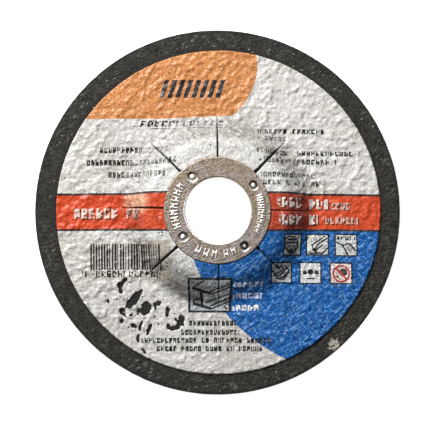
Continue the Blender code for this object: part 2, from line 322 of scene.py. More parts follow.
def outline(corners):
    """Rows (radius, height, pitch) of a closed outline through (radius, height, fillet, pitch) corners.

    A corner with a fillet is an arc tangent to its two sides. The straight side that leaves a corner is cut
    into equal steps no longer than the corner's pitch.
    """
    places = np.array([corner[:2] for corner in corners], float)
    before = np.roll(places, 1, axis=0) - places
    after = np.roll(places, -1, axis=0) - places
    before /= np.linalg.norm(before, axis=1)[:, None]
    after /= np.linalg.norm(after, axis=1)[:, None]
    arcs = []
    for place, back, onward, (_, _, fillet, pitch) in zip(places, before, after, corners):
        if not fillet:
            arcs.append(place[None])
            continue
        half = math.acos(np.clip(back @ onward, -1, 1)) / 2
        centre = place + (back + onward) / np.linalg.norm(back + onward) * fillet / math.sin(half)
        first = place + back * fillet / math.tan(half) - centre
        turn = -math.copysign(math.pi - 2 * half, back[0] * onward[1] - back[1] * onward[0])
        angles = np.linspace(0, turn, max(3, math.ceil(fillet * abs(turn) / pitch)) + 1)
        x = first[0] * np.cos(angles) - first[1] * np.sin(angles)
        z = first[0] * np.sin(angles) + first[1] * np.cos(angles)
        arcs.append(centre + np.stack([x, z], axis=1))
    rows = []
    for index, arc in enumerate(arcs):
        pitch = corners[index][3]
        start, end = arc[-1], arcs[(index + 1) % len(arcs)][0]
        steps = max(1, math.ceil(np.linalg.norm(end - start) / pitch))
        side = start + (end - start) * (np.arange(1, steps) / steps)[:, None]
        line = np.concatenate([arc, side])
        rows.append(np.column_stack([line, np.full(len(line), pitch)]))
    return np.concatenate(rows)


def zipped(first, second, closed):
    """Triangles between two rows of points with different counts.

    Each edge of the first row takes the point of the second row beside its middle, and each edge of the
    second row takes the point of the first row where those two edges part.
    """
    edges = len(first) - (not closed)
    other_edges = len(second) - (not closed)
    reached = np.rint((np.arange(edges) + 0.5) / edges * other_edges).astype(int)
    parted = np.searchsorted(reached, np.arange(other_edges), side="right")
    start = np.arange(edges)
    other_start = np.arange(other_edges)
    near = np.stack([
        first[start], first[(start + 1) % len(first)], second[reached % len(second)],
    ], axis=1)
    far = np.stack([
        second[(other_start + 1) % len(second)], second[other_start], first[parted % len(first)],
    ], axis=1)
    return np.concatenate([near, far])


def turned_skin(rows):
    """Points, outward normals and triangles of a closed skin turned from rows of (radius, height, pitch).

    Each row is a ring with as many points as its pitch asks, and the last ring is zipped to the first. The
    normal is the outline's tangent turned by a right angle, away from the material.
    """
    counts = np.maximum(48, np.rint(2 * math.pi * rows[:, 0] / rows[:, 2])).astype(int)
    starts = np.concatenate([[0], np.cumsum(counts)])
    ring = np.repeat(np.arange(len(rows)), counts)
    angle = 2 * math.pi * (np.arange(starts[-1]) - starts[ring]) / counts[ring]
    tangent = np.roll(rows[:, :2], -1, axis=0) - np.roll(rows[:, :2], 1, axis=0)
    tangent /= np.linalg.norm(tangent, axis=1)[:, None]
    area = np.sum(rows[:, 0] * np.roll(rows[:, 1], -1) - np.roll(rows[:, 0], -1) * rows[:, 1])
    side = math.copysign(1, area)
    across, upward = side * tangent[ring, 1], -side * tangent[ring, 0]
    points = np.stack([rows[ring, 0] * np.cos(angle), rows[ring, 0] * np.sin(angle), rows[ring, 1]], axis=1)
    normals = np.stack([across * np.cos(angle), across * np.sin(angle), upward], axis=1)
    rings = np.split(np.arange(starts[-1]), starts[1:-1])
    triangles = np.concatenate([
        zipped(this, onward, closed=True) for this, onward in zip(rings, rings[1:] + rings[:1])
    ])
    if side > 0:
        triangles = triangles[:, ::-1]
    return points, normals, triangles


def mesh_piece(name, points, triangles, material, sharp_degrees=None):
    """An object from points in millimetres and triangles, smooth but for edges past an angle."""
    mesh = bpy.data.meshes.new(name)
    mesh.vertices.add(len(points))
    mesh.vertices.foreach_set("co", (points * MM).astype(np.float32).ravel())
    mesh.loops.add(triangles.size)
    mesh.loops.foreach_set("vertex_index", triangles.astype(np.int32).ravel())
    mesh.polygons.add(len(triangles))
    mesh.polygons.foreach_set("loop_start", np.arange(0, triangles.size, 3, dtype=np.int32))
    mesh.update(calc_edges=True)
    mesh.shade_smooth()
    if sharp_degrees:
        mesh.set_sharp_from_angle(angle=math.radians(sharp_degrees))
    mesh.materials.append(material)
    piece = bpy.data.objects.new(name, mesh)
    bpy.context.scene.collection.objects.link(piece)
    return piece


def add_attribute(piece, name, kind, values):
    """Stores one value or vector for each point of a piece, for its material to read."""
    attribute = piece.data.attributes.new(name, kind, "POINT")
    key = "vector" if kind == "FLOAT_VECTOR" else "value"
    attribute.data.foreach_set(key, values.astype(np.float32).ravel())


def add_node(tree, kind, *inputs, **settings):
    """Adds a node, makes its settings, fills its sockets, and returns the first output that it has in use.

    Inputs fill the sockets that the settings leave in use, in order, or by name from a dictionary. A socket
    is linked, a number, vector or colour is set, and None is passed over.
    """
    node = tree.nodes.new("ShaderNode" + kind)
    for key, value in settings.items():
        setattr(node, key, value)
    if inputs and isinstance(inputs[0], dict):
        filled = [(node.inputs[name], value) for name, value in inputs[0].items()]
    else:
        filled = zip([socket for socket in node.inputs if socket.enabled], inputs)
    for socket, value in filled:
        if isinstance(value, bpy.types.NodeSocket):
            tree.links.new(value, socket)
        elif value is not None:
            socket.default_value = value
    return next((socket for socket in node.outputs if socket.enabled), None)


def new_material(name):
    """An empty node material and its tree."""
    material = bpy.data.materials.new(name)
    material.use_nodes = True
    material.node_tree.nodes.clear()
    return material, material.node_tree


def millimetres(tree):
    """Object coordinates in millimetres."""
    place = add_node(tree, "TexCoord").node.outputs["Object"]
    return add_node(tree, "VectorMath", place, 1 / MM, operation="SCALE")


def all_of(tree, *masks):
    """The product of the masks: 1 only where all of them are 1."""
    whole, *others = masks
    for mask in others:
        whole = add_node(tree, "Math", whole, mask, operation="MULTIPLY")
    return whole


def any_of(tree, *masks):
    """The greatest of the masks: 1 where any of them is 1."""
    whole, *others = masks
    for mask in others:
        whole = add_node(tree, "Math", whole, mask, operation="MAXIMUM")
    return whole


def layered(tree, colour, *layers):
    """A colour with layers laid over it in turn, each a mask and its own colour as sRGB hex or a socket."""
    for mask, coat in layers:
        coat = linear(coat) if isinstance(coat, str) else coat
        colour = add_node(tree, "Mix", mask, colour, coat, data_type="RGBA")
    return colour


def clouds(tree, place, noise, levels, shares):
    """Noise of a scale and detail, with a span of its levels spread over a span of shares."""
    cloud = add_node(tree, "TexNoise", place, *noise)
    return add_node(tree, "MapRange", cloud, *levels, *shares)


def streaks(tree, place, degrees, size, detail, roughness):
    """Noise drawn out in a direction, with its size along it and across it in millimetres."""
    drawn = add_node(
        tree, "Mapping", place, None, (0.0, 0.0, math.radians(degrees)), (*size, 1.0), vector_type="TEXTURE",
    )
    return add_node(tree, "TexNoise", drawn, 1.0, detail, roughness)


def grit_material():
    """Brown-black phenolic resin filled with alumina grit, pressed and baked.

    To the eye it is a matt dark stone with grains of about 0.7 mm, a few of them painted pale as glints. It
    is scuffed paler in short slanted streaks along the middle of the bare rim, and has painted shade at the
    rim's rounded outer edge.
    """
    material, tree = new_material("resin_bonded_grit")
    place = millimetres(tree)
    grains = add_node(tree, "TexVoronoi", place, GRAINS_PER_MILLIMETRE)
    tone = add_node(tree, "SeparateColor", grains.node.outputs["Color"])
    # Painted glints: a few grains are painted pale
    glint = add_node(tree, "Math", tone, 0.992, operation="GREATER_THAN")
    core = add_node(tree, "Math", grains, 0.36, operation="LESS_THAN")
    glint = all_of(tree, glint, core)
    cloud = clouds(tree, place, (0.35, 4.0), (0.35, 0.65), (0.0, 1.0))
    fine = add_node(tree, "TexNoise", place, 1.4, 4.0, 0.6)
    colour = layered(tree, linear("292825"), (cloud, "3d3b36"))
    speckle = add_node(tree, "MapRange", fine, 0.3, 0.7, 0.4, 1.7)
    colour = add_node(tree, "VectorMath", colour, speckle, operation="SCALE")

    # Scuffs along the middle of the rim
    plane = add_node(tree, "VectorMath", place, (1.0, 1.0, 0.0), operation="MULTIPLY")
    radius = add_node(tree, "VectorMath", plane, operation="LENGTH")
    scuffs = streaks(tree, place, 32.0, (1.5, 0.55), 2.0, 0.5)
    scuffs = add_node(tree, "MapRange", scuffs, 0.58, 0.72, 0.0, 0.7)
    rare = clouds(tree, place, (0.11, 1.0), (0.4, 0.6), (0.15, 1.0))
    band = add_node(tree, "Math", radius, 59.3, 2.6, operation="COMPARE")
    scuffs = all_of(tree, scuffs, rare, band)
    # Painted shade at the rim's rounded outer edge; the rim is also darker next to the label
    edge = add_node(tree, "MapRange", radius, 61.2, 62.3, 0.0, 0.6)
    near_label = add_node(tree, "MapRange", radius, 57.0, 55.6, 0.0, 0.6)

    # A place on the rim where it has been knocked pale
    knock = add_node(tree, "VectorMath", plane, (*RIM_KNOCK, 0.0), operation="DISTANCE")
    knock = add_node(tree, "MapRange", knock, 4.2, 1.4, 0.0, 1.0)
    knock = add_node(tree, "MapRange", all_of(tree, knock, fine), 0.36, 0.52, 0.0, 1.0)
    colour = layered(
        tree, colour, (scuffs, "8f8b83"), (edge, "201f1e"), (near_label, "2b2826"), (knock, "c8c0b2"),
        (glint, "b9b4a8"),
    )
    bump = add_node(tree, "Bump", {"Height": fine, "Strength": 1.0, "Distance": 0.9 * MM})
    shader = add_node(tree, "BsdfPrincipled", {
        "Base Color": colour, "Roughness": 0.7, "Specular IOR Level": 0.25, "Normal": bump,
    })
    add_node(tree, "OutputMaterial", shader)
    return material


def rectangle(tree, x, y, box):
    """1 inside a box (left, right, bottom, top) and 0 outside."""
    left, right, bottom, top = box
    across = add_node(tree, "Math", x, (left + right) / 2, (right - left) / 2, operation="COMPARE")
    upward = add_node(tree, "Math", y, (bottom + top) / 2, (top - bottom) / 2, operation="COMPARE")
    return all_of(tree, across, upward)


def disc_mask(tree, place, circle):
    """1 inside a circle (x, y, radius) and 0 outside."""
    away = add_node(tree, "VectorMath", place, (*circle[:2], 0.0), operation="DISTANCE")
    return add_node(tree, "Math", away, circle[2], operation="LESS_THAN")


def any_disc(tree, place, circles):
    """1 inside any of the circles and 0 outside."""
    return any_of(tree, *[disc_mask(tree, place, circle) for circle in circles])


def drawn_lines(tree, place, lines, width):
    """1 on lines of a width through corners: the least distance to a segment is under half the width.

    The nearest place on a segment is its start plus the segment times the share along it, held to 0 to 1.
    The renderer adds a node for each clamp, and the label has nearly as many as it takes, so a maximum and
    a minimum hold the share.
    """
    least = 1000.0
    for corners in lines:
        for start, end in zip(corners, corners[1:]):
            edge = np.array((end[0] - start[0], end[1] - start[1], 0.0))
            onward = add_node(tree, "VectorMath", place, (*start, 0.0), operation="SUBTRACT")
            share = add_node(tree, "VectorMath", onward, edge / (edge @ edge), operation="DOT_PRODUCT")
            share = add_node(tree, "Math", share, 0.0, operation="MAXIMUM")
            share = add_node(tree, "Math", share, 1.0, operation="MINIMUM")
            near = add_node(tree, "VectorMath", edge, share, operation="SCALE")
            away = add_node(tree, "VectorMath", onward, near, operation="DISTANCE")
            least = add_node(tree, "Math", away, least, operation="MINIMUM")
    return add_node(tree, "Math", least, width / 2, operation="LESS_THAN")


def leaning(tree, x, y, slope, level):
    """x for a pattern that leans to the right by a slope, and stays in its place at one level."""
    shift = add_node(tree, "Math", y, -slope, level * slope, operation="MULTIPLY_ADD")
    return add_node(tree, "Math", x, shift, operation="ADD")


def block_rows(tree, x, y, blocks):
    """Rows of small plain blocks: (rows, height, width of a cell, levels, share left out, share filled).

    Each row is (left, right, middle height). The row's own height is summed up where a row is, so that the
    distance from its middle is known. A row is cut into cells, each into four columns and some levels. The
    first column is full and the last is empty. Random numbers fill the two between, and leave whole cells
    out.
    """
    rows, height, pitch, levels, gaps, filled = blocks
    line = 0.0
    for left, right, middle in rows:
        inside = rectangle(tree, x, y, (left, right, middle - height / 2, middle + height / 2))
        line = add_node(tree, "Math", inside, middle, line, operation="MULTIPLY_ADD")
    in_row = add_node(tree, "Math", line, operation="ABSOLUTE")
    in_row = add_node(tree, "Math", in_row, 0.01, operation="GREATER_THAN")
    count = add_node(tree, "Math", x, 1 / pitch, operation="MULTIPLY")
    cell = add_node(tree, "Math", count, operation="FLOOR")
    share = add_node(tree, "Math", count, operation="FRACT")
    first = add_node(tree, "Math", share, 0.27, operation="LESS_THAN")
    used = add_node(tree, "Math", share, 0.78, operation="LESS_THAN")
    column = add_node(tree, "Math", x, 3.9 / pitch, operation="MULTIPLY")
    column = add_node(tree, "Math", column, operation="FLOOR")
    above = add_node(tree, "Math", y, line, operation="SUBTRACT")
    level = add_node(tree, "Math", above, levels / height, levels / 2, operation="MULTIPLY_ADD")
    level = add_node(tree, "Math", level, operation="FLOOR")
    seed = add_node(tree, "CombineXYZ", column, level, line)
    chance = add_node(tree, "TexWhiteNoise", seed, noise_dimensions="3D")
    inked = add_node(tree, "Math", chance, filled, operation="LESS_THAN")
    seed = add_node(tree, "CombineXYZ", cell, line)
    kept = add_node(tree, "TexWhiteNoise", seed, noise_dimensions="2D")
    kept = add_node(tree, "Math", kept, gaps, operation="GREATER_THAN")
    return all_of(tree, any_of(tree, first, inked), used, kept, in_row)


def printed_fields(tree, place, x, y, solid, colour):
    """The orange field with its slanted bar, and the blue field with its rubbed streaks.

    It returns the colour with them, and the mask of each field.
    """
    rise = add_node(tree, "MapRange", x, *ORANGE_EDGE)
    above = add_node(tree, "Math", y, rise, operation="GREATER_THAN")
    left_part = add_node(tree, "Math", x, ORANGE_CIRCLE[0], operation="LESS_THAN")
    orange = all_of(tree, any_of(tree, disc_mask(tree, place, ORANGE_CIRCLE), left_part), above)
    slanted = leaning(tree, x, y, *ORANGE_LEAN)
    strokes = add_node(tree, "Math", slanted, 1 / STROKE_PITCH, operation="MULTIPLY")
    strokes = add_node(tree, "Math", strokes, operation="FRACT")
    strokes = add_node(tree, "Math", strokes, 0.58, operation="LESS_THAN")
    strokes = all_of(tree, strokes, rectangle(tree, slanted, y, ORANGE_BAR))

    below = add_node(tree, "Math", y, BLUE_TOP, operation="LESS_THAN")
    blue = all_of(tree, disc_mask(tree, place, BLUE_CIRCLE), below)
    deep = clouds(tree, solid, (0.42, 3.0), (0.45, 0.62), (0.0, 0.5))
    deep = all_of(tree, deep, blue)
    colour = layered(
        tree, colour, (orange, ORANGE_INK), (strokes, BLACK_INK), (blue, BLUE_INK), (deep, BLUE_INK_DEEP),
    )
    for degrees, most in ((38.0, 0.8), (128.0, 0.5)):
        pale = streaks(tree, solid, degrees, (2.9, 0.7), 3.5, 0.6)
        pale = add_node(tree, "MapRange", pale, 0.55, 0.66, 0.0, most)
        colour = layered(tree, colour, (all_of(tree, pale, blue), BLUE_INK_RUBBED))
    return colour, orange, blue


def printed_stripe(tree, place, x, y, solid, colour):
    """The red stripe between two dark lines, with a painted glare on one slope and painted shade on another,
    with rows of blocks and their shade.
    """
    lined = add_node(tree, "Math", y, STRIPE_MIDDLE, STRIPE_HALF + STRIPE_LINE, operation="COMPARE")
    stripe = add_node(tree, "Math", y, STRIPE_MIDDLE, STRIPE_HALF, operation="COMPARE")
    right_part = add_node(tree, "Math", x, 0.0, operation="GREATER_THAN")
    # Painted shade: the red darkens on the cone's slope right of the ring
    dark = add_node(tree, "MapRange", x, 19.0, 25.0, 0.3, 0.7)
    dark_end = add_node(tree, "MapRange", x, 29.0, 34.0, 1.0, 0.0)
    dark = all_of(tree, dark, dark_end, right_part)
    # A painted glare: paler, patchy red where the stripe bends over the hub's left slope
    painted_glare = add_node(tree, "VectorMath", place, (*STRIPE_GLARE, 0.0), operation="DISTANCE")
    painted_glare = add_node(tree, "MapRange", painted_glare, 5.6, 2.4, 0.0, 1.0)
    patchy = clouds(tree, solid, (0.9, 3.0), (0.35, 0.6), (0.4, 1.0))
    painted_glare = all_of(tree, painted_glare, patchy)
    red = layered(tree, linear(RED_INK), (dark, RED_PAINTED_SHADE), (painted_glare, "f0c29c"))
    shade_x = add_node(tree, "Math", x, -BLOCK_SHADE, operation="ADD")
    shade_y = add_node(tree, "Math", y, BLOCK_SHADE, operation="ADD")
    shade = any_of(tree, *[block_rows(tree, shade_x, shade_y, rows) for rows in (LARGE_ROWS, SMALL_ROWS)])
    large = block_rows(tree, x, y, LARGE_ROWS)
    small = block_rows(tree, x, y, SMALL_ROWS)
    faded = add_node(tree, "MapRange", x, -34.0, -29.0, 0.0, 0.45)
    left_part = add_node(tree, "Math", 1.0, right_part, operation="SUBTRACT")
    faded = all_of(tree, faded, left_part)
    large = add_node(tree, "Math", large, faded, operation="SUBTRACT", use_clamp=True)
    large_ink = layered(tree, linear("e8c8ba"), (right_part, "efe0d8"))
    return layered(
        tree, colour, (lined, BLACK_INK), (stripe, red), (shade, "3a1815"), (large, large_ink),
        (small, "e4b3a2"),
    )


def printed_bars(tree, x, y, colour):
    """The beige patch, fainter at its left, with upright bars of random widths."""
    right_end = add_node(tree, "MapRange", x, -30.0, -18.0, 0.3, 0.85)
    patch = all_of(tree, rectangle(tree, x, y, BEIGE_PATCH), right_end)
    count = add_node(tree, "Math", x, 1 / BAR_PITCH, operation="MULTIPLY")
    share = add_node(tree, "Math", count, operation="FRACT")
    count = add_node(tree, "Math", count, operation="FLOOR")
    chance = add_node(tree, "TexWhiteNoise", count, noise_dimensions="1D")
    width = add_node(tree, "Math", chance, 0.5, 0.36, operation="MULTIPLY_ADD")
    bars = add_node(tree, "Math", share, width, operation="LESS_THAN")
    bars = all_of(tree, bars, rectangle(tree, x, y, BARS_BOX))
    pale = add_node(tree, "MapRange", chance, 0.3, 0.0, 0.0, 1.0)
    bar_ink = layered(tree, linear("201c1b"), (pale, "6a6058"))
    return layered(tree, colour, (patch, BEIGE_INK), (bars, bar_ink))


def printed_rows(tree, x, y, radius, solid, colour):
    """The rows of black blocks, part rubbed off where the paper bends, and the rows of white ones."""
    black = any_of(
        tree, *[block_rows(tree, x, y, rows) for rows in BLACK_ROWS],
        block_rows(tree, leaning(tree, x, y, *ROW_LEAN), y, SLANTED_ROW), rectangle(tree, x, y, UNDERLINE),
    )
    rub = clouds(tree, solid, (0.5, 2.0), (0.4, 0.6), (0.1, 0.9))
    on_bend = add_node(tree, "MapRange", radius, 35.5, 32.0, 0.0, 1.0)
    on_hub = add_node(tree, "MapRange", radius, 29.0, 26.0, 1.0, 0.5)
    upper = add_node(tree, "Math", y, -7.0, operation="GREATER_THAN")
    to_left = add_node(tree, "MapRange", x, 8.0, 18.0, 1.0, 0.6)
    rub = all_of(tree, rub, on_bend, on_hub, upper, to_left)
    left_over = add_node(tree, "Math", 1.0, rub, operation="SUBTRACT")
    black = all_of(tree, black, left_over)
    white = block_rows(tree, x, y, WHITE_ROWS)
    lowest = add_node(tree, "MapRange", y, -29.0, -32.0, 0.0, 1.0)
    white_ink = layered(tree, linear("dde6ff"), (lowest, PALE_INK))
    return layered(tree, colour, (black, "1b1a1d"), (white, white_ink))


def printed_pictures(tree, place, x, y, colour):
    """The framed picture of a rolled section, the six small framed pictures, and the pinholes."""
    frames = any_of(tree, *[
        rectangle(tree, x, y, (left - FRAME, right + FRAME, bottom - FRAME, top + FRAME))
        for (left, right, bottom, top), _ in PICTURES
    ])
    shapes = any_of(
        tree, drawn_lines(tree, place, PICTURE_LINES, 0.55), any_disc(tree, place, PICTURE_DISCS),
        block_rows(tree, x, y, PICTURE_ROW), rectangle(tree, x, y, PICTURE_BAR),
    )
    return layered(
        tree, colour,
        (rectangle(tree, x, y, BEAM_FRAME), "1c1d22"),
        (rectangle(tree, x, y, BEAM_PICTURE), "b4b8bb"),
        (drawn_lines(tree, place, BEAM_THIN, 0.5), "1f2125"),
        (drawn_lines(tree, place, BEAM_THICK, 1.0), "26282c"),
        (frames, "141b2c"),
        *[(rectangle(tree, x, y, box), fill) for box, fill in PICTURES],
        *[(disc_mask(tree, place, circle), fill) for circle, fill in PICTURE_GREYS],
        (shapes, "212329"),
        *[(disc_mask(tree, place, circle), fill) for circle, fill in RED_RING],
        (any_disc(tree, place, RING_DISCS), "4c3a36"),
        (drawn_lines(tree, place, RING_BAR, 0.75), "b8484a"),
        (any_disc(tree, place, PINHOLES), "3a3633"),
    )


def soiled_and_shaded_paper(tree, place, radius, solid, blue, colour):
    """The label's colour with painted shade in the crook of the hub, darker patches, and scuffs round the
    slope.
    """
    # Painted shade in the crook of the hub, darker as a place faces the hub's lower side, and a little on
    # the cone's upper side
    around = add_node(tree, "VectorMath", place, operation="NORMALIZE")
    turn = math.radians(283.0)
    lowest = (math.cos(turn), math.sin(turn), 0.0)
    facing = add_node(tree, "VectorMath", around, lowest, operation="DOT_PRODUCT")
    upper = add_node(tree, "MapRange", facing, -0.8, -0.95, 0.0, 0.19)
    on_cone = add_node(tree, "MapRange", radius, 23.5, 26.5, 0.3, 1.0)
    upper = all_of(tree, upper, on_cone)
    lower = add_node(tree, "MapRange", facing, 0.05, 0.55, 0.0, 0.33)
    painted_shade = add_node(tree, "Math", lower, upper, operation="ADD")
    inner = add_node(tree, "MapRange", radius, 17.0, 21.5, 0.0, 1.0)
    outer = add_node(tree, "MapRange", radius, 32.0, 27.0, 0.1, 1.0)
    painted_shade = all_of(tree, painted_shade, inner, outer)
    tones = [add_node(tree, "Math", 1.0, painted_shade, operation="SUBTRACT")]
    # Darker patches, two of them painted shade on the cone
    for centre, reach, core, tone in DARKER_PATCHES:
        away = add_node(tree, "VectorMath", place, (*centre, 0.0), operation="DISTANCE")
        tones.append(add_node(tree, "MapRange", away, reach, core, 1.0, tone))

    # Scuffs, fainter on the blue field
    scuffs = streaks(tree, solid, 150.0, (2.6, 0.8), 4.0, 0.65)
    scuffs = add_node(tree, "MapRange", scuffs, 0.37, 0.64, 0.06, 0.5)
    inner = add_node(tree, "MapRange", radius, 22.0, 26.0, 0.2, 1.0)
    outer = add_node(tree, "MapRange", radius, 34.5, 30.5, 0.0, 1.0)
    off_blue = add_node(tree, "Math", blue, -0.9, 1.0, operation="MULTIPLY_ADD")
    scuffs = all_of(tree, scuffs, inner, outer, off_blue)
    tones.append(add_node(tree, "Math", 1.0, scuffs, operation="SUBTRACT"))
    for tone in tones:
        colour = add_node(tree, "VectorMath", colour, tone, operation="SCALE")
    return colour


def label_material():
    """White coated paper, offset printed in four flat inks, glued to the disc before it is baked.

    To the eye it is a satin pale grey sheet with flat fields of colour, rubbed where it bends over the hub.
    """
    material, tree = new_material("printed_paper")
    place = add_node(tree, "Attribute", attribute_name="flat_paper").node.outputs["Vector"]
    x = add_node(tree, "SeparateXYZ", place)
    y = x.node.outputs["Y"]
    radius = add_node(tree, "VectorMath", place, operation="LENGTH")
    solid = millimetres(tree)

    # The sheet itself, a little yellowed in clouds, and paler on the hub, which is painted sheen of its
    # smoother paper
    cloud = clouds(tree, solid, (0.045, 3.0), (0.45, 0.7), (0.0, 0.8))
    hub = add_node(tree, "MapRange", radius, 26.0, 23.5, 0.0, 0.6)
    colour = layered(tree, linear(PAPER_WHITE), (cloud, PAPER_AGED), (hub, "efedea"))
    colour, orange, blue = printed_fields(tree, place, x, y, solid, colour)
    colour = printed_stripe(tree, place, x, y, solid, colour)
    colour = printed_bars(tree, x, y, colour)
    colour = printed_rows(tree, x, y, radius, solid, colour)
    colour = printed_pictures(tree, place, x, y, colour)
    colour = soiled_and_shaded_paper(tree, place, radius, solid, blue, colour)

    # The mottle of ink on rough paper, strongest on the blue field
    inked = add_node(tree, "Math", orange, 0.35, blue, operation="MULTIPLY_ADD")
    depth = add_node(tree, "Math", inked, 0.3, 0.24, operation="MULTIPLY_ADD")
    mottle = clouds(tree, solid, (1.7, 1.5, 0.6), (0.34, 0.66), (-1.0, 1.0))
    mottle = add_node(tree, "Math", mottle, depth, 1.0, operation="MULTIPLY_ADD")
    colour = add_node(tree, "VectorMath", colour, mottle, operation="SCALE")

    # The grain of the sheet. Real fibres are too fine to show, so it is drawn coarser
    grain = add_node(tree, "TexNoise", solid, 0.6, 1.5, 0.5)
    bump = add_node(tree, "Bump", {"Height": grain, "Strength": 1.0, "Distance": 0.55 * MM})
    shader = add_node(tree, "BsdfPrincipled", {
        "Base Color": colour, "Roughness": 0.38, "Specular IOR Level": 0.4, "Normal": bump,
    })
    add_node(tree, "OutputMaterial", shader)
    return material


def steel_material():
    """Tinned sheet steel, pressed, with short slanted scratches and brown storage stains.

    To the eye it is a warm grey metal with a soft gloss, with painted highlights on the raised strokes, on
    the bore's lower edge and in the stake marks, painted shade round the strokes, on the bore's upper edge
    and in the stakes' rings, and soiled floors in the stake marks.
    """
    material, tree = new_material("tinned_steel")
    place = millimetres(tree)
    raised, dirt_and_shade, painted_highlight = [
        add_node(tree, "Attribute", attribute_name=name).node.outputs["Fac"]
        for name in ("raised", "dirt_and_shade", "painted_highlight")
    ]
    stain = clouds(tree, place, (0.3, 4.0), (0.4, 0.62), (0.0, 1.0))
    upward = add_node(tree, "SeparateXYZ", place).node.outputs["Y"]
    upward = add_node(tree, "MapRange", upward, -14.0, 14.0, -0.3, 0.4)
    stain = add_node(tree, "Math", stain, upward, operation="ADD", use_clamp=True)
    tint = clouds(tree, place, (0.9, 3.0), (0.4, 0.62), (0.0, 0.7))

    # Real scratches are too fine to show, so they are drawn coarser
    scratches = streaks(tree, place, 35.0, (1.1, 0.45), 4.0, 0.7)
    colour = layered(tree, linear("9a948f"), (stain, "8e8268"), (tint, "948280"))
    speckle = add_node(tree, "MapRange", scratches, 0.34, 0.66, 0.44, 1.54)
    colour = add_node(tree, "VectorMath", colour, speckle, operation="SCALE")
    # Painted highlights on the strokes, the bore's edge and the stakes, then painted shade and soil from the
    # attribute
    colour = layered(tree, colour, (raised, "f3eee6"), (dirt_and_shade, "151313"), (painted_highlight, "faf8f5"))
    roughness = add_node(tree, "MapRange", scratches, 0.3, 0.7, 0.28, 0.45)
    bump = add_node(tree, "Bump", {"Height": scratches, "Strength": 1.0, "Distance": 0.16 * MM})
    shader = add_node(tree, "BsdfPrincipled", {
        "Base Color": colour, "Metallic": 1.0, "Roughness": roughness, "Normal": bump,
    })
    add_node(tree, "OutputMaterial", shader)
    return material


def make_grit_body():
    """The bonded body: its outline turned once round, roughened inwards by the grit.

    The depth is that of grains of about 0.7 mm, plus pits where a coarser noise is high, plus the imprint of
    the glass net on the working face: two sets of threads 5 mm apart, crossing at a right angle.
    """
    rim = 0.6
    thread_pitch = 5.0
    corners = (
        (BODY_BORE_RADIUS, BODY_HIGH[2], 0.1, 1.0),
        (HUB_RADIUS, BODY_HIGH[2], BEND_RADIUS, 0.8),
        (FOOT_RADIUS, RIM_TOP, BEND_RADIUS, 0.8),
        (LABEL_RADIUS - 1.5, RIM_TOP, 0.0, 0.4),
        (DISC_RADIUS, RIM_TOP, rim, 0.4),
        (DISC_RADIUS, 0.0, rim, 0.4),
        (DISC_RADIUS - 3.0, 0.0, 0.0, 0.8),
        (FOOT_RADIUS, 0.0, RECESS_BEND_RADIUS, 0.8),
        (HUB_RADIUS, HUB_RISE, RECESS_BEND_RADIUS, 0.8),
        (BODY_BORE_RADIUS, HUB_RISE, 0.1, 1.0),
    )
    points, normals, triangles = turned_skin(outline(corners))
    grain = lattice_noise(points, (0.75, 0.75, 0.75), 11)
    coarse = lattice_noise(points, (2.2, 2.2, 2.2), 12)
    depth = 0.07 + 0.1 * grain + 0.06 * coarse
    depth += 0.16 * smooth_step(grain + 0.5 * coarse, 0.55, 0.95)
    threads = np.abs((points[:, :2] / thread_pitch) % 1 - 0.5).min(axis=1) * thread_pitch
    depth += np.where(normals[:, 2] < -0.5, 0.12 * smooth_step(threads, 0.3, 0.9), 0.0)
    radius = np.hypot(points[:, 0], points[:, 1])
    depth *= 1 - 0.6 * smooth_step(radius, DISC_RADIUS - 0.7, DISC_RADIUS - 0.1)
    bore = radius < BODY_BORE_RADIUS + 0.6
    depth = np.where(bore, 0.0, np.clip(depth, 0.0, 0.45))
    points = points - normals * depth[:, None]
    body = mesh_piece("grit_body", points, triangles, grit_material())
    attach(body, "root")
    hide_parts("abrasive_body")
    return body


def label_rows(pitch):
    """Rows (radius, height, length left) of the label's face from its bore to its edge, at an even pitch.

    The face is the flat hub, a bend, the cone, a bend and the flat rim. The length left is the paper's own
    length from a row to the tip of the slits, less the plain distance between them.
    """
    rise = LABEL_FACE + HUB_RISE
    fine, uncut = 0.05, 100.0
    line = outline((
        (LABEL_BORE_RADIUS, rise, 0.0, fine), (HUB_RADIUS, rise, BEND_RADIUS, fine),
        (FOOT_RADIUS, LABEL_FACE, BEND_RADIUS, fine), (LABEL_RADIUS, LABEL_FACE, 0.0, uncut),
        (LABEL_RADIUS, LABEL_FACE - 1.0, 0.0, uncut), (LABEL_BORE_RADIUS, LABEL_FACE - 1.0, 0.0, uncut),
    ))[:-2, :2]
    length = np.concatenate([[0], np.cumsum(np.linalg.norm(np.diff(line, axis=0), axis=1))])
    tip = np.interp(SLIT_TIP, line[:, 0], length)
    inner = np.linspace(0, tip, round(tip / pitch) + 1)
    outer = np.linspace(tip, length[-1], round((length[-1] - tip) / pitch) + 1)
    places = np.concatenate([inner, outer[1:]])
    radius = np.interp(places, length, line[:, 0])
    height = np.interp(places, length, line[:, 1])
    extra = np.maximum(tip - places, 0) - np.maximum(SLIT_TIP - radius, 0)
    return np.stack([radius, height, extra], axis=1)


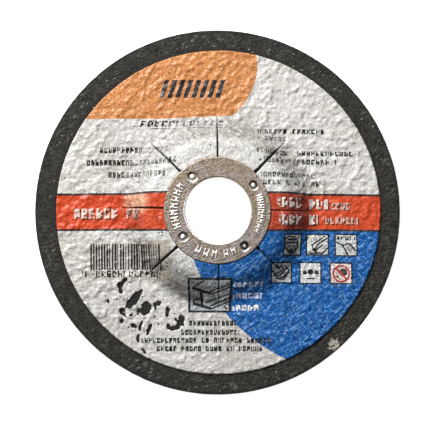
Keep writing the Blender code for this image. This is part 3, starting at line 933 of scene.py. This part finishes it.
def gore_sheet(pitch):
    """Points, flat paper places and triangles of the slit label, before it takes the grit's relief.

    Eight gores lie between the slits. A row of a gore is an arc from one slit's edge to the next one's, and
    the edge stands half the gape aside of the slit's line. The flat place is the plain place, moved in along
    the gore's middle by the length that the cone takes up. Gores share their points past the slits' tips.
    """
    rows = label_rows(pitch)
    points, flat, triangles = [], [], []
    count = 0
    for index, (start, start_gape, start_flare) in enumerate(SLITS):
        end, end_gape, end_flare = SLITS[(index + 1) % len(SLITS)]
        end += 360.0 if end <= start else 0.0
        middle = math.radians((start + end) / 2)
        previous = None
        for radius, height, extra in rows:
            open_share = np.clip((SLIT_TIP - radius) / (SLIT_TIP - HUB_RADIUS), 0, 1) ** 0.6
            at_ring = math.exp(-(max(radius - FLANGE_RADIUS, 0) / FLARE_REACH) ** 2)
            first_gape = start_gape * open_share + start_flare * at_ring
            last_gape = end_gape * open_share + end_flare * at_ring
            first = math.radians(start) + math.asin(first_gape / 2 / radius)
            last = math.radians(end) - math.asin(last_gape / 2 / radius)
            angles = np.linspace(first, last, max(3, round((last - first) * radius / pitch)) + 1)
            level = np.full(len(angles), height)
            arc = np.stack([radius * np.cos(angles), radius * np.sin(angles), level], axis=1)
            points.append(arc)
            flat.append(arc * (1, 1, 0) - extra * np.array([math.cos(middle), math.sin(middle), 0]))
            numbers = np.arange(count, count + len(arc))
            if previous is not None:
                triangles.append(zipped(numbers, previous, closed=False))
            previous = numbers
            count += len(arc)
    points, flat, triangles = np.concatenate(points), np.concatenate(flat), np.concatenate(triangles)
    rounded = np.round(points * 1000).astype(int)
    _, kept, merged = np.unique(rounded, axis=0, return_index=True, return_inverse=True)
    return points[kept], flat[kept], merged.ravel()[triangles]


def inside_outline(places, corners):
    """Whether each place is inside a closed outline: a ray to its right crosses an odd number of edges."""
    ends = np.roll(corners, -1, axis=0)
    x, y = places[:, 0, None], places[:, 1, None]
    spans = (corners[:, 1] > y) != (ends[:, 1] > y)
    rise = np.where(ends[:, 1] == corners[:, 1], 1, ends[:, 1] - corners[:, 1])
    slope = (ends[:, 0] - corners[:, 0]) / rise
    return np.sum(spans & (x < corners[:, 0] + (y - corners[:, 1]) * slope), axis=1) % 2 == 1


def cut_away(points, triangles, outlines, reach):
    """Moves points near an outline onto it and drops the triangles whose middle is inside it.

    The nearest place on an outline is the nearest of its edges' nearest places, each held to its edge. It
    returns the points, the triangles with the used points numbered afresh, and which points are used.
    """
    for corners in outlines:
        corners = np.array(corners, float)
        ends = np.roll(corners, -1, axis=0)
        low, high = corners.min(axis=0) - 2 * reach, corners.max(axis=0) + 2 * reach
        near = np.flatnonzero(np.all((points[:, :2] > low) & (points[:, :2] < high), axis=1))
        start = points[near, None, :2] - corners
        edge = ends - corners
        share = np.clip(np.sum(start * edge, axis=2) / np.sum(edge * edge, axis=1), 0, 1)
        closest = corners + share[..., None] * edge
        away = np.linalg.norm(points[near, None, :2] - closest, axis=2)
        best = np.argmin(away, axis=1)
        rows = np.arange(len(near))
        snapped = away[rows, best] < reach
        points[near[snapped], :2] = closest[rows, best][snapped]
        middles = points[triangles][:, :, :2].mean(axis=1)
        close = np.flatnonzero(np.all((middles > low) & (middles < high), axis=1))
        inside = close[inside_outline(middles[close], corners)]
        triangles = np.delete(triangles, inside, axis=0)
    used, numbers = np.unique(triangles, return_inverse=True)
    return points, numbers.reshape(triangles.shape), used


def ragged(corners, step, amount, grow, seed):
    """An outline with its edges cut into short steps, each end moved at random, as torn paper is."""
    corners = np.array(corners, float)
    ends = np.roll(corners, -1, axis=0)
    counts = np.maximum(1, np.rint(np.linalg.norm(ends - corners, axis=1) / step)).astype(int)
    owner = np.repeat(np.arange(len(corners)), counts)
    share = (np.arange(len(owner)) - np.repeat(np.cumsum(counts) - counts, counts)) / counts[owner]
    line = corners[owner] + (ends - corners)[owner] * share[:, None]
    along = np.roll(line, -1, axis=0) - np.roll(line, 1, axis=0)
    along /= np.linalg.norm(along, axis=1)[:, None]
    area = np.sum(line[:, 0] * np.roll(line[:, 1], -1) - np.roll(line[:, 0], -1) * line[:, 1])
    turn = math.copysign(1, area)
    line += turn * grow * np.stack([along[:, 1], -along[:, 0]], axis=1)
    return line + np.random.default_rng(seed).uniform(-amount, amount, line.shape)


def relief(places):
    """How far the grit pushes the paper up, in millimetres.

    Long soft ridges that run up to the right lie over the upper left, and round pebbles, where a noise is
    above zero, over the rest. Sharp crests come from noise near zero, as 1 - |noise|. The hub is smoother,
    and the paper is quiet at the ring, but for a lip where the pressed flange makes it bulge. A fold is a
    bell curve of the distance to its line.
    """
    x, y = places[:, 0], places[:, 1]
    radius = np.hypot(x, y)
    turned = np.stack([0.75 * x + 0.66 * y, -0.66 * x + 0.75 * y, np.zeros_like(x)], axis=1)
    flat = np.stack([x, y, np.zeros_like(x)], axis=1)
    ridges = lattice_noise(turned, (3.2, 1.6, 1.0), 21) + 0.6 * lattice_noise(turned, (1.7, 1.0, 1.0), 22)
    pebbles = lattice_noise(flat, (1.5, 1.5, 1.0), 26) + 0.3 * lattice_noise(flat, (0.8, 0.8, 1.0), 23)
    pebbles = np.clip(pebbles - 0.08, 0, 0.6)
    fine = lattice_noise(turned, (1.1, 0.8, 1.0), 24)
    crests = 1 - 2.4 * np.abs(lattice_noise(turned, (3.4, 2.2, 1.0), 25))
    upper_left = smooth_step(y - 0.5 * x, -12, 22)
    lower_right = smooth_step(0.6 * x - y, 14, 30)
    height = 0.22 * ridges * (0.08 + 0.92 * upper_left) - 0.13
    height += 0.85 * pebbles * (1 - 0.4 * upper_left) * (1 - 0.5 * lower_right)
    height += 0.14 * fine + 0.12 * upper_left * np.clip(crests, 0, 1)
    calm = 0.42 + 0.8 * smooth_step(radius, 24, 30) - 0.22 * smooth_step(radius, 32, 37)
    ring = smooth_step(radius, FLANGE_RADIUS, FLANGE_RADIUS + 2.0)
    lip = 0.22 * np.exp(-((radius - FLANGE_RADIUS - 0.7) / 0.35) ** 2)
    folded = np.zeros(len(places))
    for start, end, rise, half_width in FOLDS:
        start, edge = np.array(start), np.array(end) - np.array(start)
        onward = places[:, :2] - start
        share = np.clip(onward @ edge / (edge @ edge), 0, 1)
        away = np.linalg.norm(onward - share[:, None] * edge, axis=1)
        folded += rise * np.exp(-(away / half_width) ** 2)
    return np.clip(height * calm, -0.17, 0.55) * (0.15 + 0.85 * ring) + lip + folded


def off_centre(places, shift, start, end):
    """A shift in the plane that grows from nothing at the start radius to the whole at the end radius."""
    share = smooth_step(np.hypot(places[:, 0], places[:, 1]), start, end)
    return share[:, None] * np.array(shift)


def make_printed_label():
    """The paper label: its slit sheet with the tears cut out, lifted by the relief and given a thickness."""
    points, flat, triangles = gore_sheet(pitch=0.46)
    outlines = [
        ragged(corners, step=0.5, amount=0.09, grow=0.13, seed=31 + number)
        for number, corners in enumerate(TEARS)
    ]
    turn = np.linspace(0, 2 * math.pi, 24, endpoint=False)
    for stake_x, stake_y, _, _ in STAKES:
        outlines.append((stake_x, stake_y) + STAKE_HOLE * np.stack([np.cos(turn), np.sin(turn)], axis=1))
    plain = points[:, :2].copy()
    points, triangles, used = cut_away(points, triangles, outlines, reach=0.24)
    flat[:, :2] += points[:, :2] - plain
    points[:, 2] += relief(points)
    points[:, :2] += off_centre(points, LABEL_SHIFT, start=36.0, end=LABEL_RADIUS)
    points, flat = points[used], flat[used]
    label = mesh_piece("printed_label", points, triangles, label_material())
    add_attribute(label, "flat_paper", "FLOAT_VECTOR", flat)
    wall = label.modifiers.new("paper_thickness", "SOLIDIFY")
    wall.thickness = PAPER * MM
    wall.offset = -1.0
    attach(label, "root")
    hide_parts("paper_label")
    return label


def stroke_height(points, grow):
    """0 to 1 on the raised strokes, grown by a margin: pairs of short radial dashes with a dab between."""
    angle = np.degrees(np.arctan2(points[:, 1], points[:, 0])) % 360
    radius = np.hypot(points[:, 0], points[:, 1])
    height = np.zeros(len(points))
    chance = np.random.default_rng(41)
    for start, end, pitch, half in STROKES:
        for middle in np.arange(start + pitch / 2, end, pitch):
            aside = ((angle - middle + 180) % 360 - 180) * math.pi / 180 * radius
            out = radius - STROKE_MIDDLE
            reach = 1 - smooth_step(np.abs(out) - grow, 1.15, 1.4)
            pair = (1 - smooth_step(np.abs(np.abs(aside) - half) - grow, 0.07, 0.26)) * reach
            low = chance.uniform(-0.9, 0.3)
            dab = 1 - smooth_step(np.abs(out - low - 0.3) - grow, 0.25, 0.45)
            dab *= 1 - smooth_step(np.abs(aside) - grow, half - 0.15, half)
            height = np.maximum(height, np.maximum(pair, dab))
    return height


def make_steel_ring():
    """The ring pressed from one sheet: flange, rolled edge and sleeve, turned once round.

    The flange's face lies under the raised strokes by their height. A stake's mark is a sunk ring with a nub
    in its middle, and the sheet's underside sinks with it.
    """
    face = FLANGE_TOP - STROKE_HEIGHT
    corners = (
        (BORE_RADIUS, SLEEVE_END, 0.1, 0.5),
        (BORE_RADIUS, face, 0.5, 0.16),
        (FLANGE_RADIUS, face, 0.2, 0.4),
        (FLANGE_RADIUS, FLANGE_BOTTOM, 0.1, 0.4),
        (BORE_RADIUS + SHEET, FLANGE_BOTTOM, 0.5, 0.5),
        (BORE_RADIUS + SHEET, SLEEVE_END, 0.1, 0.5),
    )
    points, normals, triangles = turned_skin(outline(corners))
    radius = np.hypot(points[:, 0], points[:, 1])
    flange = radius > BORE_RADIUS + 0.6
    top = flange & (points[:, 2] > face - 0.01)
    bottom = flange & (points[:, 2] < FLANGE_BOTTOM + 0.01)
    sunk = np.zeros(len(points))
    angle = np.arctan2(points[:, 1], points[:, 0])
    # Painted highlight on the bore's rounded edge, reaching furthest towards the lower left, and painted
    # shade along it on the upper right
    lower = smooth_step(np.cos(angle - math.radians(235.0)), -0.3, 0.4)
    painted_glare = BORE_RADIUS + 0.1 + 0.55 * lower
    painted_highlight = 1 - smooth_step(radius, painted_glare, painted_glare + 0.2)
    dirt_and_shade = 0.75 * np.exp(-((radius - BORE_RADIUS - 0.4) / 0.2) ** 2) * (1 - lower)
    # At each stake: painted shade in the sunk ring, darker on its right, a soiled floor, and painted
    # highlights on the lower wall, the floor and the nub
    for stake_x, stake_y, ring_shade, floor_dirt in STAKES:
        away = np.hypot(points[:, 0] - stake_x, points[:, 1] - stake_y)
        around = np.arctan2(points[:, 1] - stake_y, points[:, 0] - stake_x)
        nub = 0.5 * (1 - smooth_step(away, STAKE_NUB, STAKE_FLOOR - 0.3))
        sunk = np.maximum(sunk, 1 - smooth_step(away, STAKE_FLOOR, STAKE_MOUTH) - nub)
        upper = 0.62 + 0.38 * smooth_step(np.cos(around - math.radians(5.0)), -0.5, 0.2)
        dark_width = 0.16 + 0.16 * ring_shade
        dirt_and_shade = np.maximum(dirt_and_shade, ring_shade * upper * np.exp(-((away - STAKE_DARK_RING) / dark_width) ** 2))
        floor = 1 - smooth_step(away, 0.95 - 0.4 * ring_shade, 1.2 - 0.3 * ring_shade)
        wide_floor = 1 - smooth_step(away, 0.9, 1.3)
        off_nub = smooth_step(away, STAKE_NUB - 0.2, STAKE_NUB + 0.1)
        dirt_and_shade = np.maximum(dirt_and_shade, floor_dirt * wide_floor * off_nub)
        crescent = np.exp(-((away - STAKE_BRIGHT_RING) / 0.2) ** 2)
        crescent *= smooth_step(np.cos(around - math.radians(260.0)), -0.1, 0.5)
        painted_highlight = np.maximum(painted_highlight, np.maximum(crescent, 0.85 * floor * (1 - floor_dirt)))
        painted_highlight = np.maximum(painted_highlight, 0.7 * floor_dirt ** 2 * (1 - smooth_step(away, 0.25, 0.55)))
    # Painted highlight on the raised strokes, and painted shadow round them
    strokes = stroke_height(points, grow=0.0) * top
    outlined = stroke_height(points, grow=0.22) * top
    dirt_and_shade = np.maximum(dirt_and_shade, 0.6 * np.clip(outlined - 1.4 * strokes, 0, 1))
    depth = np.where(top, STAKE_DEPTH, np.where(bottom, STAKE_DEPTH_BELOW, 0.0))
    points[:, 2] += STROKE_HEIGHT * strokes - depth * sunk
    points[:, :2] += off_centre(points, FLANGE_SHIFT, start=BORE_RADIUS + 1.0, end=FLANGE_RADIUS)
    ring = mesh_piece("steel_ring", points, triangles, steel_material(), sharp_degrees=50.0)
    add_attribute(ring, "raised", "FLOAT", strokes)
    add_attribute(ring, "dirt_and_shade", "FLOAT", dirt_and_shade * top)
    add_attribute(ring, "painted_highlight", "FLOAT", painted_highlight)
    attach(ring, "root")
    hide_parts("centre_ring")
    return ring


def make_floor():
    """A plain white studio table, seen or mirrored at white, less the object's soft shadow."""
    material, tree = new_material("studio_table")
    camera_ray = add_node(tree, "LightPath")
    rays = camera_ray.node.outputs
    seen = any_of(tree, camera_ray, rays["Is Glossy Ray"], rays["Is Transmission Ray"])
    strength = add_node(tree, "Math", seen, 0.9, operation="MULTIPLY")
    lit = add_node(tree, "BsdfDiffuse", linear("f2f2f2"))
    glow = add_node(tree, "Emission", linear("ffffff"), strength)
    both = add_node(tree, "AddShader", lit, glow)
    add_node(tree, "OutputMaterial", both)
    mesh = bpy.data.meshes.new("studio_table")
    half, depth = 3.0, 5e-5
    sides = ((-half, -half), (half, -half), (half, half), (-half, half))
    mesh.from_pydata([(*side, -depth) for side in sides], [], [(0, 1, 2, 3)])
    mesh.materials.append(material)
    floor = bpy.data.objects.new("studio_table", mesh)
    bpy.context.scene.collection.objects.link(floor)


def make_world():
    """Soft studio air: dim for the light it sheds, pale in reflections, and plain white to the camera."""
    world = bpy.data.worlds.new("studio_air")
    bpy.context.scene.world = world
    world.use_nodes = True
    tree = world.node_tree
    tree.nodes.clear()
    direction = add_node(tree, "TexCoord")
    turn = math.radians(120.0)
    bright_side = (math.cos(turn), math.sin(turn), 0.3)
    towards = add_node(tree, "VectorMath", direction, bright_side, operation="DOT_PRODUCT")
    share = add_node(tree, "MapRange", towards, 0.75, -0.2, 0.0, 1.0)
    mirrored = layered(tree, linear("ffffff"), (share, "2c2c2c"))
    camera_ray = add_node(tree, "LightPath")
    glossy_ray = camera_ray.node.outputs["Is Glossy Ray"]
    shed = add_node(tree, "Background", linear("ffffff"), 0.16)
    mirrored = add_node(tree, "Background", mirrored, 1.0)
    white = add_node(tree, "Background", linear("ffffff"), 1.0)
    both = add_node(tree, "MixShader", glossy_ray, shed, mirrored)
    both = add_node(tree, "MixShader", camera_ray, both, white)
    add_node(tree, "OutputWorld", both)


def add_lamp(name, azimuth, elevation, distance, size, power):
    """A square lamp aimed at the disc's middle, placed by direction in degrees and distance in metres."""
    turn, rise = math.radians(azimuth), math.radians(elevation)
    back = Vector((math.cos(turn) * math.cos(rise), math.sin(turn) * math.cos(rise), math.sin(rise)))
    lamp = bpy.data.lights.new(name, "AREA")
    lamp.size = size
    lamp.energy = power
    rig = bpy.data.objects.new(name, lamp)
    rig.location = back * distance
    rig.rotation_mode = "QUATERNION"
    rig.rotation_quaternion = (-back).to_track_quat("-Z", "Y")
    rig.visible_camera = False
    bpy.context.scene.collection.objects.link(rig)


def make_camera():
    """A long lens 1.5 m away, 5 degrees off the disc's axis, towards the lower left of the label."""
    photo_width = 437
    pixels_per_millimetre = 2.921
    distance = 1.5
    tilt, azimuth = math.radians(5.0), math.radians(251.0)
    back = Vector((math.cos(azimuth) * math.sin(tilt), math.sin(azimuth) * math.sin(tilt), math.cos(tilt)))
    aim = Vector((0.269, -0.303, 5.0)) * MM
    right = Vector((0, 1, 0)).cross(back).normalized()
    up = back.cross(right)
    lens = bpy.data.cameras.new("camera")
    lens.sensor_fit = "HORIZONTAL"
    lens.sensor_width = 36.0
    lens.lens = pixels_per_millimetre / MM * distance * lens.sensor_width / photo_width
    lens.clip_start = 0.05
    lens.clip_end = 20.0
    camera = bpy.data.objects.new("camera", lens)
    turn = Matrix((right, up, back)).transposed()
    camera.matrix_world = Matrix.Translation(aim + back * distance) @ turn.to_4x4()
    bpy.context.scene.collection.objects.link(camera)
    bpy.context.scene.camera = camera


make_grit_body()
make_printed_label()
make_steel_ring()
make_floor()
make_world()
add_lamp("key_lamp", azimuth=120.0, elevation=41.0, distance=0.62, size=0.16, power=4.65)
add_lamp("window_lamp", azimuth=172.0, elevation=33.0, distance=0.8, size=0.2, power=0.85)
make_camera()
bpy.context.scene.view_settings.view_transform = "Standard"
